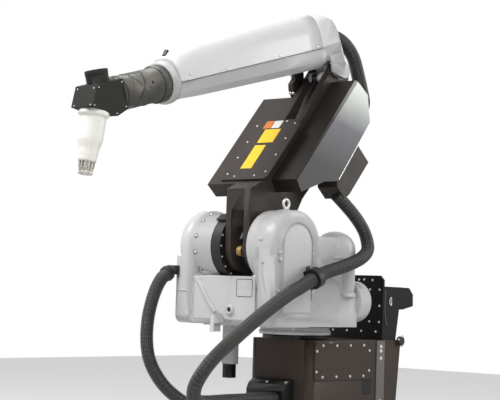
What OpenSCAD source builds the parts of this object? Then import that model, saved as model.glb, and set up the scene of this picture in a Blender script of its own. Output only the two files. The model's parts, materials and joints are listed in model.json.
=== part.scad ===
// Six-axis painting robot arm on a closed pedestal, with a hollow wrist and a bell atomizer.
// The origin is on the floor under the slewing axis, +X points forward and +Z up.
// The ear with the round-topped cover is on the +Y side.

/* [Pedestal] */
// Height of the pedestal's top above the floor
ped_h = 636; // [560:1:760]
// Width of the pedestal
ped_w = 460; // [420:1:520]
// Distance from the slewing axis to the pedestal's front face
ped_front = 130; // [110:1:180]
// Distance from the slewing axis to the back of the pedestal's main box
ped_back = 474; // [440:1:520]
// Length of the tail box behind the main box, at its top
tail_l = 243; // [200:1:260]
// Thickness of the floor plate
foot_t = 30; // [20:1:45]
// How far the floor plate stands out past the pedestal
foot_rim = 70; // [50:1:110]
// Diameter of the floor plate's anchor holes
anchor_d = 27; // [20:1:34]
// Thickness of the access cover on the pedestal's side
access_t = 6; // [4:1:12]
// Height of the upright plate behind the arm, above the pedestal's top
back_plate_h = 382; // [300:1:420]
// Thickness of the upright plate
back_plate_t = 14; // [10:1:20]

/* [Shoulder] */
// Height of the shoulder axis above the pedestal's top
shoulder_h = 514; // [500:1:540]
// Distance of the shoulder axis in front of the slewing axis
axis2_x = 400; // [380:1:430]
// Radius of the turntable flange
turn_r = 200; // [190:1:215]
// Thickness of the turntable flange
turn_t = 44; // [30:1:50]
// Height of the slewing ring between pedestal and turntable
slew_h = 25.5; // [24:0.5:32]
// Radius of the ears round the shoulder axis
ear_r = 204; // [196:1:212]
// Outer face of the left ear, measured from the middle plane
left_out = 380; // [370:1:400]
// Thickness of the left ear's outer casting
left_t = 105; // [90:1:115]
// Outer face of the right ear, measured from the middle plane
right_out = 333; // [325:1:345]
// Inner face of the right ear, measured from the middle plane
right_in = 131; // [127:1:140]
// Radius of the bolted black gear case on the left ear
gear_r = 188; // [180:1:192]
// Radius of the fixed shaft on the shoulder axis
shaft_r = 50; // [44:1:56]
// Radius of the vertical motor housing
motor_r = 118; // [110:1:122]

/* [Lower arm] */
// Length of the lower arm between the shoulder and elbow axes
arm1 = 1209; // [1180:1:1230]
// How far the lower arm leans back in the shown pose, in degrees
lean = 30.6; // [29:0.1:32]
// How far the valve boxes lean back in the shown pose, in degrees
box_lean = 40.8; // [39:0.1:42]
// Thickness of each cheek of the lower arm
cheek_t = 46; // [36:1:48]
// Radius of the lower arm's hub
hub1_r = 150; // [140:1:156]
// Radius of the lower arm's head at the elbow
head1_r = 80; // [70:1:84]
// Distance from the shoulder axis to the front face of the valve boxes
box_front = 275; // [265:1:290]
// Outer side of the left valve box, measured from the middle plane
box_left = 300; // [280:1:320]
// Outer side of the right valve box, measured from the middle plane
box_right = 300; // [280:1:320]

/* [Upper arm] */
// Distance from the elbow axis to the front of the wrist ring
arm2 = 1392; // [1300:1:1420]
// Nose-down pitch of the upper arm in the shown pose, in degrees
pitch2 = 16.3; // [14:0.1:18]
// Height of the wrist's centre line above the elbow axis
arm2_rise = 191; // [188:1:196]
// Half width of the hood at its seam
hood_w = 150; // [140:1:160]
// Height of the hood's crown above the elbow axis
hood_top = 392; // [384:1:400]
// Length of the crank arm and of the lever that the control rod joins
lever = 110; // [100:1:116]

/* [Wrist] */
// Outer radius of the grey wrist ring
ring_r = 111; // [106:1:116]
// Outer radius of the wrist's first sleeve
sleeve_r = 92; // [86:1:96]
// Tilt of the wrist's middle seam, in degrees
wrist_tilt = 32; // [28:1:35]
// Half width of the gun head
head_w = 80; // [76:1:90]
// Length of the atomizer from its flange to its rim
gun_l = 315; // [290:1:340]
// Angle of the atomizer below the wrist's centre line, in degrees
gun_angle = 65.6; // [62:0.1:68]

/* [Hoses] */
// Diameter of the two conduits from the base
conduit_d = 76; // [60:1:80]
// Diameter of the hose behind the elbow
elbow_hose_d = 84; // [60:1:90]

/* [Hidden] */
$fn = 64;

run_gap = 0.3;
move_gap = 6;
eps = 1;
elbow_pin_r = 34;
gear_y0 = 140;
conduit_ports = [[40, ped_h - 336], [-100, ped_h - 436]];

// Shoulder and elbow axes
axis2_z = ped_h + shoulder_h;
axis2 = [axis2_x, 0, axis2_z];
axis3 = axis2 + arm1 * [-sin(lean), 0, cos(lean)];
turn_z = ped_h + slew_h + 0.5;

// Planes across the lower arm, from the left ear to the right ear
ear_left_in = left_out - left_t;
gear_face = 70;
cheek_left_out = gear_face - move_gap;
cheek_left_in = cheek_left_out - cheek_t + 6;
cheek_right_out = right_in - 3 * move_gap;
cheek_right_in = cheek_right_out - cheek_t + 2;
crank_t = 18;
crank_y1 = cheek_right_in - move_gap;
crank_y0 = crank_y1 - crank_t;
lug_y0 = -cheek_left_in + move_gap;
lug_y1 = lug_y0 + crank_t;
rod_y0 = lug_y1 + 5;
rod_y1 = crank_y0 - 5;

// Crank and lever directions follow the upper arm
lever_dir = [cos(pitch2 - 2), 0, -sin(pitch2 - 2)];
crank_pin = axis2 + lever * lever_dir;
lever_pin = axis3 + lever * lever_dir;
rod_pin_r = 15;
rod_eye_r = 28;

// Local frames: boxes along local Z, upper arm along local X
module on_boxes() translate(axis2) rotate([0, -box_lean, 0]) children();
module on_arm2() translate(axis3) rotate([0, pitch2, 0]) children();
module across(y0, y1) translate([0, y1, 0]) rotate([90, 0, 0]) linear_extrude(y1 - y0) children();

// Local box coordinates back to the row frame, as X and Z
function box_xz(w, u) = [
    axis2_x + w * cos(box_lean) - u * sin(box_lean),
    axis2_z + w * sin(box_lean) + u * cos(box_lean)
];

// A rounded bar between the sides y0 and y1 with its axis along Y
module drum(p, r, y0, y1) translate([p[0], y1, p[2]]) rotate([90, 0, 0]) cylinder(r = r, h = y1 - y0);

// Closed solid through a list of rings with the same number of points
module loft(rings) {
    n = len(rings[0]);
    m = len(rings);
    polyhedron(
        points = [for (ring = rings) each ring],
        faces = concat(
            [[for (i = [n - 1:-1:0]) i]],
            [[for (i = [0:n - 1]) (m - 1) * n + i]],
            [for (k = [0:m - 2], i = [0:n - 1])
                [k * n + i, k * n + (i + 1) % n, (k + 1) * n + (i + 1) % n, (k + 1) * n + i]]
        ),
        convexity = 6
    );
}

// Tube of round rings through hand-chosen points
function unit(v) = v / norm(v);
function tangent(p, i) = unit(p[min(i + 1, len(p) - 1)] - p[max(i - 1, 0)]);
function side(p, i) = i == 0
    ? unit(cross(tangent(p, 0), [0.1, 1, 0.2]))
    : let (t = tangent(p, i), a = side(p, i - 1)) unit(a - (a * t) * t);
function hose_ring(p, i, r, n) = let (a = side(p, i), b = cross(tangent(p, i), a))
    [for (k = [0:n - 1]) p[i] + r * cos(360 * k / n) * a + r * sin(360 * k / n) * b];
module hose(p, d, n = 10) loft([for (i = [0:len(p) - 1]) hose_ring(p, i, d / 2, n)]);

// Pedestal and what stands on the floor
tail_back = ped_back + tail_l;
tail_slope = 60;
foot_x0 = -tail_back + tail_slope - foot_rim / 2;
foot_x1 = ped_front + foot_rim;
foot_w = ped_w + 2 * foot_rim;
anchor_in = 32;
anchor_dx = foot_x1 - foot_x0 - 2 * anchor_in;
anchor_dy = foot_w - 2 * anchor_in;
ped_round = 48;
plate_x = -ped_back - 56;
plate_w = ped_w + 4;

module floor_plate() {
    color("dimgray") difference() {
        translate([foot_x0, -foot_w / 2, 0]) cube([foot_x1 - foot_x0, foot_w, foot_t]);
        for (x = [foot_x0 + anchor_in, foot_x1 - anchor_in], y = [-1, 1])
            translate([x, y * anchor_dy / 2, -eps]) cylinder(d = anchor_d, h = foot_t + 2 * eps);
    }
}

module pedestal_outline() {
    hull() {
        for (s = [-1, 1])
            translate([ped_front - ped_round, s * (ped_w / 2 - ped_round)]) circle(ped_round, $fn = 32);
        translate([-ped_back, -ped_w / 2]) square([10, ped_w]);
    }
}

module pedestal() {
    color("#2b2624") difference() {
        translate([0, 0, foot_t]) linear_extrude(ped_h - foot_t) pedestal_outline();
        translate([-ped_back + 56, ped_w / 2 - 20, ped_h - 318]) cube([46, 40, 98]);
    }
}

module pedestal_tail() {
    color("#2b2624") {
        across(-plate_w / 2, plate_w / 2) polygon([
            [-ped_back, foot_t], [-tail_back + tail_slope, foot_t], [-tail_back, ped_h], [-ped_back, ped_h]
        ]);
        drum([-tail_back + 14, 0, ped_h - 6], 28, plate_w / 2 - eps, plate_w / 2 + 20);
    }
}

module access_cover() {
    h = 210;
    l = 520;
    color("#3a3230") across(ped_w / 2, ped_w / 2 + access_t)
        translate([-ped_back + 52, ped_h - 18 - h]) offset(r = 22, $fn = 32) offset(delta = -22)
        square([l, h]);
}

module slewing_ring() {
    color("#1d1b1a") translate([0, 0, ped_h]) cylinder(r = turn_r - 14, h = slew_h);
}

module back_plate() {
    cut = 26;
    color("#1d1b1a") translate([plate_x, 0, ped_h]) rotate([90, 0, -90]) linear_extrude(back_plate_t)
        polygon([
            [-plate_w / 2, 0], [plate_w / 2, 0], [plate_w / 2, back_plate_h - cut],
            [plate_w / 2 - cut, back_plate_h], [-plate_w / 2 + cut, back_plate_h],
            [-plate_w / 2, back_plate_h - cut]
        ]);
}

cheek_x0 = plate_x - back_plate_t;

module cheek_shape() {
    difference() {
        polygon([
            [cheek_x0, ped_h], [cheek_x0, ped_h + 318], [cheek_x0 - 172, ped_h + 316], [cheek_x0 - 120, ped_h]
        ]);
        translate([cheek_x0 - 62, ped_h + 230]) scale([1, 1.5]) circle(15, $fn = 40);
    }
}

module side_cheek(y0) {
    color("#1d1b1a") across(y0, y0 + 14) cheek_shape();
}

module rear_bracket() {
    z = ped_h + 182;
    x = cheek_x0 - 172;
    color("#1d1b1a") across(-plate_w / 2 + 14, plate_w / 2 - 14) polygon([
        [x + 24, z], [x + 24, z + 134], [x - 96, z + 132], [x - 136, z + 92], [x - 138, z + 22], [x - 30, z]
    ]);
}

module hose_hood() {
    color("#1d1b1a") translate([ped_front, 0, 0]) difference() {
        across(-170, 110) polygon([
            [0, ped_h - 516], [0, ped_h - 226], [36, ped_h - 232], [70, ped_h - 256], [86, ped_h - 290],
            [86, ped_h - 516]
        ]);
        for (p = conduit_ports) translate([30, p[0], p[1]]) rotate([0, 90, 0])
            cylinder(d = conduit_d + 6, h = 100);
    }
}

// Shoulder casting that turns on the slewing ring
web_top = axis2_z - ear_r - 14;
web_back = -150;
leg_in = 235;
web_front = axis2_x + 100;
ear_bottom = axis2_z - 435;

module turntable() {
    color("gainsboro") translate([0, 0, turn_z]) cylinder(r = turn_r, h = turn_t);
}

module web_profile() {
    z0 = turn_z + turn_t;
    polygon([
        [web_back, z0], [web_front - 20, z0], [web_front, z0 + 30], [web_front, web_top - 24],
        [web_front - 24, web_top], [-120, web_top], [web_back, web_top - 60]
    ]);
}

// Motor that hangs under the web, with its plug at the bottom
module service_motor() {
    z0 = turn_z + turn_t;
    translate([axis2_x, -144, z0 - 214]) cube([60, 70, 214 + eps]);
    translate([axis2_x + 4, -140, z0 - 292]) cube([52, 54, 80]);
}

module shoulder_web() {
    color("gainsboro") {
        difference() {
            union() {
                across(-ear_left_in, right_in) web_profile();
                across(right_in - eps, leg_in) intersection() {
                    web_profile();
                    translate([drive_front, 0]) square([1000, axis2_z]);
                }
            }
            translate([web_front - 40, -54, axis2_z - 354]) rotate([0, 90, 0]) cylinder(r = 13, h = 60);
        }
        translate([web_front - eps, 50, axis2_z - 230]) rotate([90, 0, 90]) linear_extrude(5 + eps)
            offset(r = 10, $fn = 24) square([102, 86], center = true);
        service_motor();
    }
}

module leg_shape(front, rear) {
    hull() {
        translate([axis2_x, axis2_z - 60]) square([2 * ear_r, 2], center = true);
        translate([front - 45, ear_bottom + 45]) circle(45, $fn = 32);
        translate([rear, ear_bottom]) square([10, 60]);
    }
}

module ear_shape(front, rear) {
    translate([axis2_x, axis2_z]) circle(ear_r, $fn = 96);
    leg_shape(front, rear);
    translate([axis2_x - ear_r, axis2_z - 60]) square([2 * ear_r, 60]);
}

// Round head of an ear, turned about the shoulder axis: a list of [radius, distance from the outer face]
module ear_head(y, inward, outline) {
    translate([axis2_x, y, axis2_z]) rotate([inward * -90, 0, 0]) rotate_extrude($fn = 96) polygon(outline);
}

casting_x1 = web_front + 90;

module left_ear() {
    color("gainsboro") {
        ear_head(-left_out, 1, [
            [0, 0], [ear_r - 40, 0], [ear_r - 14, 10], [ear_r, 34], [ear_r, left_t], [ear_r - 14, left_t],
            [ear_r - 14, left_out - gear_y0], [0, left_out - gear_y0]
        ]);
        across(-left_out, -ear_left_in) leg_shape(axis2_x + ear_r, -120);
        across(-left_out + 34, -ear_left_in) translate([axis2_x - ear_r, axis2_z - 60]) square([2 * ear_r, 60]);
        difference() {
            hull() {
                across(-ear_left_in - eps, -ear_left_in) polygon([
                    [web_front - 60, ear_bottom], [casting_x1, ear_bottom], [casting_x1, axis2_z - 170],
                    [web_front - 60, axis2_z - 110]
                ]);
                across(-51, -50) polygon([
                    [web_front - 2, ear_bottom], [web_front + 4, ear_bottom], [web_front + 4, web_top - 60],
                    [web_front - 2, web_top - 60]
                ]);
            }
            across(-ear_left_in, -eps) union() {
                web_profile();
                square([web_front, web_top]);
            }
        }
    }
}

eye_x = axis2_x;
drive_top = axis2_z - 265;
drive_front = 160;

module drive_block() translate([web_back, ear_bottom]) square([drive_front - web_back, drive_top - ear_bottom]);

module right_ear() {
    t = right_out - right_in;
    color("gainsboro") difference() {
        union() {
            ear_head(right_out, -1, [
                [0, 0], [ear_r - 16, 0], [ear_r - 4, 4], [ear_r, 16], [ear_r, t - 62], [ear_r - 12, t - 28],
                [ear_r - 40, t - 6], [ear_r - 60, t], [0, t]
            ]);
            across(leg_in, right_out) leg_shape(axis2_x + ear_r, web_back);
            across(leg_in, right_out - 16) translate([axis2_x - ear_r, axis2_z - 60]) square([2 * ear_r, 60]);
            across(right_in, right_out) drive_block();
            translate([eye_x - 32, motor_y - 18, axis2_z + ear_r - 12]) cube([64, 64, 14]);
            ear_cover();
            hull() {
                across(leg_in - 70, leg_in) translate([axis2_x, axis2_z]) circle(ear_r - 18, $fn = 32);
                across(leg_in - eps, leg_in) translate([axis2_x + 40, axis2_z - 330]) square([ear_r - 60, 100]);
            }
        }
        across(right_in - eps, leg_in) translate([web_back - eps, 0]) difference() {
            square([web_front - web_back + eps, web_top]);
            square([drive_front - web_back + eps, web_top]);
        }
    }
}

// Raised cover on the right ear's outer face, round at the top and straight down to the foot
module ear_cover() {
    r = 138;
    across(right_out - eps, right_out + 14) hull() {
        translate([axis2_x + 12, axis2_z + 5]) circle(r, $fn = 64);
        for (s = [-1, 1])
            translate([axis2_x + 12 + s * (r - 12), axis2_z - 378]) circle(12, $fn = 16);
    }
}

module gear_case() {
    color("#1d1b1a") difference() {
        drum(axis2, gear_r, -gear_y0, -gear_face);
        drum(axis2, shaft_r, -gear_y0 - eps, -gear_face + eps);
    }
}

module shoulder_shaft() {
    color("silver") {
        drum(axis2, shaft_r, -gear_y0, -cheek_left_in);
        drum(axis2, shaft_r, crank_y0, right_in);
    }
}

motor_x = axis2_x - 460;
motor_y = (right_in + right_out) / 2;
motor_z = axis2_z - 291;

module upper_motor() {
    dome = 275;
    color("gainsboro") difference() {
        translate([motor_x, motor_y, drive_top]) {
            cylinder(r = motor_r + 8, h = 26);
            rotate_extrude() polygon([
                [0, 0], [motor_r, 0], [motor_r, dome], [motor_r - 6, dome + 28], [motor_r - 22, dome + 58],
                [motor_r - 50, dome + 82], [motor_r - 85, dome + 96], [0, dome + 99]
            ]);
            translate([0, -75, 90]) cube([axis2_x - motor_x - 185, 150, dome - 30]);
        }
        across(0, 2 * right_out) ear_shape(axis2_x + ear_r, web_back);
        translate([web_back - eps, 0, 0]) cube([1000, right_in, web_top + run_gap]);
    }
}

module lower_motor() {
    color("gainsboro") difference() {
        translate([web_back, motor_y, motor_z]) rotate([0, -90, 0]) rotate_extrude()
            polygon([[0, 0], [motor_r, 0], [motor_r, 112], [motor_r - 20, 138], [motor_r - 66, 157], [0, 160]]);
        translate([motor_x, motor_y, drive_top]) cylinder(r = motor_r + 8 + run_gap, h = 200);
    }
}

module lifting_eye() {
    z = axis2_z + ear_r + 2;
    color("silver") translate([eye_x, motor_y + 14, z]) {
        cylinder(r = 18, h = 10);
        translate([0, 0, 34]) rotate([90, 0, 0]) rotate_extrude() translate([24, 0]) circle(7.5, $fn = 24);
    }
}

saddle = axis2 + [-74, 405, -165];

module hose_saddle() {
    color("#1d1b1a") translate(saddle) rotate([0, -69, 0]) difference() {
        union() {
            translate([0, 0, -22]) cylinder(d = conduit_d + 40, h = 44);
            translate([-44, -58, -26]) cube([88, 40, 52]);
            translate([-66, -40, -12]) cube([132, 12, 24]);
        }
        translate([0, 0, -40]) cylinder(d = conduit_d + 2, h = 80);
    }
}

module stop_block() {
    color("gray") difference() {
        translate([web_front + 30, 0, 0]) rotate([90, 0, 90]) linear_extrude(54) polygon([
            [-128, ear_bottom - 42], [-98, ear_bottom - 42], [-98, ear_bottom], [-70, ear_bottom + 8],
            [-96, ear_bottom + 60], [-128, ear_bottom + 60]
        ]);
        left_ear();
    }
}

module left_hose_elbow() {
    color("#1d1b1a") {
        translate([axis2_x + ear_r, -left_out - 40, 984]) cube([16, 60, 52]);
        translate([axis2_x + ear_r, -left_out - 48, 1008]) rotate([0, 125, 0]) {
            cylinder(d = conduit_d - 6, h = 44);
            translate([0, 0, 22]) cylinder(d = conduit_d + 12, h = 24);
        }
    }
}

// Lower arm: two cheeks with the control rod between them
module cheek_outline() {
    shelf = box_xz(box_front, 250);
    neck = box_xz(box_front, 800);
    back_low = box_xz(-45, 560);
    back_mid = box_xz(-20, 850);
    head_front = [axis3[0], axis3[2]] + head1_r * [cos(lean), sin(lean)];
    head_back = [axis3[0], axis3[2]] - head1_r * [cos(lean), sin(lean)];
    union() {
        translate([axis2_x, axis2_z]) circle(hub1_r, $fn = 96);
        translate([axis3[0], axis3[2]]) circle(head1_r, $fn = 72);
        polygon([
            [axis2_x + hub1_r, axis2_z], [axis2_x + hub1_r, axis2_z + 320], shelf, neck,
            head_front, head_back, back_mid, back_low, [axis2_x - 300, axis2_z + 290],
            [axis2_x - hub1_r, axis2_z + 40]
        ]);
    }
}

module arm_cheek(y0, y1) {
    difference() {
        across(y0, y1) cheek_outline();
        drum(axis2, shaft_r + run_gap, y0 - eps, y1 + eps);
        drum(axis3, elbow_pin_r, y0 - eps, y1 + eps);
    }
}

module arm_cheek_left() {
    color("#2b2624") {
        arm_cheek(-cheek_left_out, -cheek_left_in);
        front_plate();
    }
}

module arm_cheek_right() {
    color("#2b2624") arm_cheek(cheek_right_in, cheek_right_out);
}

// Plate that closes the lower arm's front between the two cheeks
module front_plate() {
    across(-cheek_left_in - eps, cheek_right_in) polygon([
        [axis2_x + hub1_r - 14, axis2_z + 200], [axis2_x + hub1_r, axis2_z + 200],
        [axis2_x + hub1_r, axis2_z + 320], box_xz(box_front, 250), box_xz(box_front - 18, 250),
        [axis2_x + hub1_r - 14, axis2_z + 312]
    ]);
}

module left_valve_box() {
    color("#2f2d2c") on_boxes() {
        across(-box_left, -cheek_left_out) polygon([
            [box_front, 230], [box_front, 943], [126, 943], [126, 284], [176, 230]
        ]);
    }
}

module valve_cover() {
    color("#2f2d2c") on_boxes() translate([box_front + run_gap, 0, 0]) rotate([90, 0, 90]) linear_extrude(12)
        polygon([[-200, 252], [110, 252], [136, 278], [136, 690], [90, 735], [-200, 735]]);
}

module right_valve_box() {
    bevel = 20;
    color("#4a4a4a") on_boxes() difference() {
        across(cheek_right_out, box_right) polygon([
            [232, 299], [240, 1096], [112, 1109], [-12, 1008], [-35, 547], [49, 461], [155, 276]
        ]);
        translate([240, box_right, 0]) rotate([0, 0, -45]) translate([-bevel, -bevel / 2, 200])
            cube([2 * bevel, bevel, 1000]);
    }
}

module rear_valve_box() {
    color("#2b2624") on_boxes() across(150, box_right - 6) polygon([
        [-36, 547], [-21, 834], [-168, 834], [-168, 573], [-153, 525], [-60, 525]
    ]);
}

module elbow_pin() {
    color("silver") {
        drum(axis3, elbow_pin_r, -cheek_left_out, lug_y1);
        drum(axis3, elbow_pin_r, crank_y0, cheek_right_out);
    }
}

module crank() {
    color("#4a4a4a") {
        difference() {
            across(crank_y0, crank_y1) hull() {
                translate([axis2_x, axis2_z]) circle(shaft_r + 26, $fn = 64);
                translate([crank_pin[0], crank_pin[2]]) circle(rod_eye_r, $fn = 48);
            }
            drum(axis2, shaft_r + run_gap, crank_y0 - eps, crank_y1 + eps);
        }
        drum(crank_pin, rod_pin_r, rod_y0 - 5, crank_y0 + eps);
    }
}

module control_rod() {
    color("#b08d4a") difference() {
        union() {
            drum(crank_pin, rod_eye_r, rod_y0, rod_y1);
            drum(lever_pin, rod_eye_r, rod_y0, rod_y1);
            translate([crank_pin[0], rod_y0 + 3, crank_pin[2]]) rotate([0, -lean, 0])
                translate([-17, 0, 20]) cube([34, rod_y1 - rod_y0 - 6, arm1 - 40]);
        }
        drum(crank_pin, rod_pin_r + run_gap, rod_y0 - eps, rod_y1 + eps);
        drum(lever_pin, rod_pin_r + 1, rod_y0 - eps, rod_y1 + eps);
    }
}

// Upper arm, in the frame of the elbow axis with X along the arm
seam_z = arm2_rise - 9;
beam_front = arm2 - 45;
beam_back = -96;
taper_x = 170;
rear_w = 75;

function beam_ring(x, w, side_z, bottom_z) = [
    for (p = [[w, seam_z], [w * 0.86, side_z], [w * 0.7, bottom_z]]) [x, p[0], p[1]],
    for (p = [[w * 0.7, bottom_z], [w * 0.86, side_z], [w, seam_z]]) [x, -p[0], p[1]]
];

// Pocket under the beam that one cheek of the lower arm turns in
module head_pocket(y0, y1) across(y0 - move_gap, y1 + move_gap) union() {
    r = head1_r + 2 * move_gap;
    circle(r, $fn = 72);
    polygon([[0, 0], [0, r], [r + 20, r - 10], [r + 56, r - 34], [r + 56, 0]]);
}

// One of the two plates that hang under the beam and carry the control rod's upper pin
module lever_plate(y0) {
    across(y0, y0 + crank_t) union() {
        circle(62, $fn = 64);
        translate([-60, 0]) square([120, 100]);
        hull() {
            circle(34, $fn = 32);
            translate([lever * cos(2), lever * sin(2)]) circle(rod_eye_r + 2, $fn = 32);
        }
    }
}

// Grey cover over the elbow's drive, on the side of the right valve box
module elbow_cap() {
    y = cheek_right_out + move_gap;
    across(60, y + 10) polygon([[84, 98], [84, 132], [-30, 132], [-30, 98]]);
    across(y, y + 10) polygon([[84, 116], [-30, 116], [-44, 30], [-14, -22], [60, 4], [86, 30]]);
    across(y, y + 34) polygon([
        [86, 30], [62, 72], [-18, 72], [-44, 36], [-40, -4], [-14, -26], [20, -20], [70, 6]
    ]);
}

module arm_beam_shell() {
    loft([
        beam_ring(beam_back, rear_w + 3, 100, 66),
        beam_ring(taper_x, hood_w - 6, 102, 66),
        beam_ring(0.37 * arm2, hood_w - 4, 108, 72),
        beam_ring(beam_front - 160, hood_w - 16, 122, 88),
        beam_ring(beam_front, 106, 128, 94)
    ]);
}

module arm_beam() {
    color("darkgray") on_arm2() difference() {
        union() {
            difference() {
                union() {
                    arm_beam_shell();
                    elbow_cap();
                }
                head_pocket(-cheek_left_out, -cheek_left_in);
                head_pocket(cheek_right_in, cheek_right_out);
                across(-36, 66) polygon([[-140, 155], [-44, 155], [-44, 200], [-140, 200]]);
            }
            lever_plate(lug_y0);
            lever_plate(crank_y0);
            drum([lever * cos(2), 0, lever * sin(2)], rod_pin_r, lug_y1 - eps, crank_y0 + eps);
        }
        drum([0, 0, 0], elbow_pin_r + run_gap, lug_y0 - eps, crank_y1 + eps);
    }
}

// Black bracket under the beam, beside the left cheek
module elbow_bracket() {
    color("#1d1b1a") on_arm2() difference() {
        across(-cheek_left_out - move_gap - 30, -cheek_left_out - move_gap)
            polygon([[104, 90], [196, 90], [196, 14], [180, -30], [146, -38], [118, 0]]);
        arm_beam_shell();
    }
}

function hood_ring(x, w, top) = [
    for (a = [180:-10:0]) let (c = cos(a), s = sin(a))
        [x, w * sign(c) * pow(abs(c), 0.62), seam_z + (top - seam_z) * pow(s, 0.62)]
];

module arm_hood() {
    color("gainsboro") on_arm2() loft([
        hood_ring(taper_x, hood_w, hood_top - 3),
        hood_ring(292, hood_w, hood_top - 1),
        hood_ring(0.416 * arm2, hood_w, hood_top),
        hood_ring(beam_front - 196, hood_w - 14, hood_top - 23),
        hood_ring(beam_front - 74, hood_w - 22, hood_top - 38),
        hood_ring(beam_front - 26, hood_w - 30, hood_top - 50),
        hood_ring(beam_front, hood_w - 42, hood_top - 74)
    ]);
}

// Tapered end of the hood behind the elbow, with a thin skirt down its back
module rear_end_cap() {
    color("whitesmoke") on_arm2() {
        intersection() {
            loft([
                hood_ring(-92, hood_w, 230),
                hood_ring(-62, hood_w, 284),
                hood_ring(-20, hood_w, hood_top - 56),
                hood_ring(60, hood_w, hood_top - 20),
                hood_ring(taper_x, hood_w, hood_top - 3)
            ]);
            translate([0, 0, seam_z]) linear_extrude(300)
                polygon([[-92, rear_w], [-92, -rear_w], [taper_x, -hood_w], [taper_x, hood_w]]);
        }
        across(-rear_w + 3, rear_w - 3) polygon([
            [-64, seam_z + 30], [-100, seam_z + 22], [-124, 27], [-118, -40], [-108, -40], [-112, 27],
            [beam_back - run_gap, 66], [beam_back - run_gap, seam_z + 8], [-64, seam_z + 8]
        ]);
    }
}

module wrist_ring() {
    color("darkgray") on_arm2() translate([beam_front, 0, arm2_rise]) rotate([0, 90, 0]) rotate_extrude()
        polygon([
            [0, 0], [ring_r + 7, 0], [ring_r + 7, 24], [ring_r + 3, 26], [ring_r + 3, 38],
            [ring_r, 40], [ring_r - 3, arm2 - beam_front], [0, arm2 - beam_front]
        ]);
}

// Wrist, along the centre line of the upper arm
wrist_x0 = arm2 + 0.5;
disc_l = 45;
seam_x = wrist_x0 + 210;
mid_x1 = seam_x + 122;

module on_wrist() on_arm2() translate([0, 0, arm2_rise]) children();
module axial(x0, l, r) translate([x0, 0, 0]) rotate([0, 90, 0]) cylinder(r = r, h = l);
module seam_cut(front) translate([seam_x, 0, 0]) rotate([0, -wrist_tilt, 0])
    translate([front ? -run_gap / 2 : -400 + run_gap / 2, -200, -200]) cube([400, 400, 400]);

module wrist_sleeve() {
    color("#3a3a34") on_wrist() difference() {
        union() {
            axial(wrist_x0, disc_l, ring_r - 9);
            axial(wrist_x0 + disc_l, 300, sleeve_r);
        }
        seam_cut(true);
    }
}

module wrist_middle() {
    color("#3a3a34") on_wrist() difference() {
        union() {
            translate([seam_x, 0, 0]) rotate([0, -wrist_tilt, 0]) axial(0, 14, sleeve_r + 6);
            axial(seam_x - 80, mid_x1 - seam_x + 80, sleeve_r);
        }
        seam_cut(false);
    }
}

module head_profile() {
    x0 = mid_x1 + 0.5;
    polygon([
        [x0, -80], [x0 + 80, -102], [x0 + 240, -21], [x0 + 184, 76], [x0, 78]
    ]);
}

module gun_head() {
    color("#2f2d2c") on_wrist() difference() {
        union() {
            across(-head_w, head_w) head_profile();
            translate([mid_x1 + 102, 0, 66]) cylinder(r = 59, h = 77);
        }
        translate([mid_x1 + 102, 0, 88]) cylinder(r = 52, h = 60);
    }
}

module on_gun() translate([mid_x1 + 167, 0, -70]) rotate([0, 90 + gun_angle, 0]) children();

module atomizer() {
    r = head_w;
    color("ivory") on_wrist() difference() {
        on_gun() rotate_extrude() polygon([
            [0, -50], [r, -50], [r, 8], [r - 3, 12], [r - 12, 16], [r - 15, 140], [r - 20, 160],
            [r - 27, 182], [r - 34, 250], [0, 250]
        ]);
        across(-head_w - eps, head_w + eps) head_profile();
        across(-head_w - eps, head_w + eps)
            polygon([[mid_x1 - 60, -102], [mid_x1 + 80, -102], [mid_x1 + 240, -21], [mid_x1 + 330, 30], [mid_x1, 300]]);
    }
}

module bell_cup() {
    color("silver") on_wrist() on_gun() translate([0, 0, 250.5]) rotate_extrude()
        polygon([[0, 0], [44, 0], [44, 26], [39, 34], [39, gun_l - 256], [35, gun_l - 250.5], [28, gun_l - 250.5], [10, 30], [0, 30]]);
}

// Hoses, along points chosen by hand
// The points are given from the shoulder axis, in the shown pose
conduit_upper_points = [
    [-437, 250, 316], [-500, 268, 262], [-560, 292, 200], [-606, 316, 130], [-616, 340, 66],
    [-588, 368, 8], [-500, 394, -40], [-364, 403, -84], [-220, 405, -118], [-130, 405, -143.5],
    [-79.6, 405, -162.9]
];
conduit_lower_points = [
    [-74, 405, -165], [-27.3, 405, -182.9], [40, 406, -214], [153, 410, -259], [351, 415, -357], [552, 405, -483],
    [681, 360, -602], [714, 290, -713], [662, 215, -788], [560, 140, -832], [420, 80, -848],
    [240, 45, -850], [0, 40, -850], [-239.5, 40, -850]
];
conduit_left_points = [
    [243, -428, -169.4], [276, -428, -192.5], [316, -430, -252], [350, -430, -335], [372, -430, -428],
    [377, -428, -540], [363, -418, -640], [323, -398, -730], [264, -360, -814], [190, -296, -884],
    [110, -208, -932], [0, -130, -948], [-120, -100, -950], [-239.5, -100, -950]
];
elbow_hose_points = [
    [-640, 15, 1272], [-690, 20, 1274], [-750, 34, 1243], [-795, 48, 1195], [-816, 62, 1140],
    [-824, 90, 1035], [-812, 122, 955], [-786, 155, 899], [-745, 180, 858], [-694.6, 190, 835.9],
    [-655.2, 190, 828.9]
];

module conduit_upper() {
    color("#262626") translate(axis2) hose(conduit_upper_points, conduit_d);
}

module conduit_lower() {
    color("#262626") translate(axis2) hose(conduit_lower_points, conduit_d);
}

module conduit_left() {
    color("#262626") translate(axis2) hose(conduit_left_points, conduit_d);
}

module elbow_hose() {
    color("#262626") translate(axis2) hose(elbow_hose_points, elbow_hose_d);
}

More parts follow.
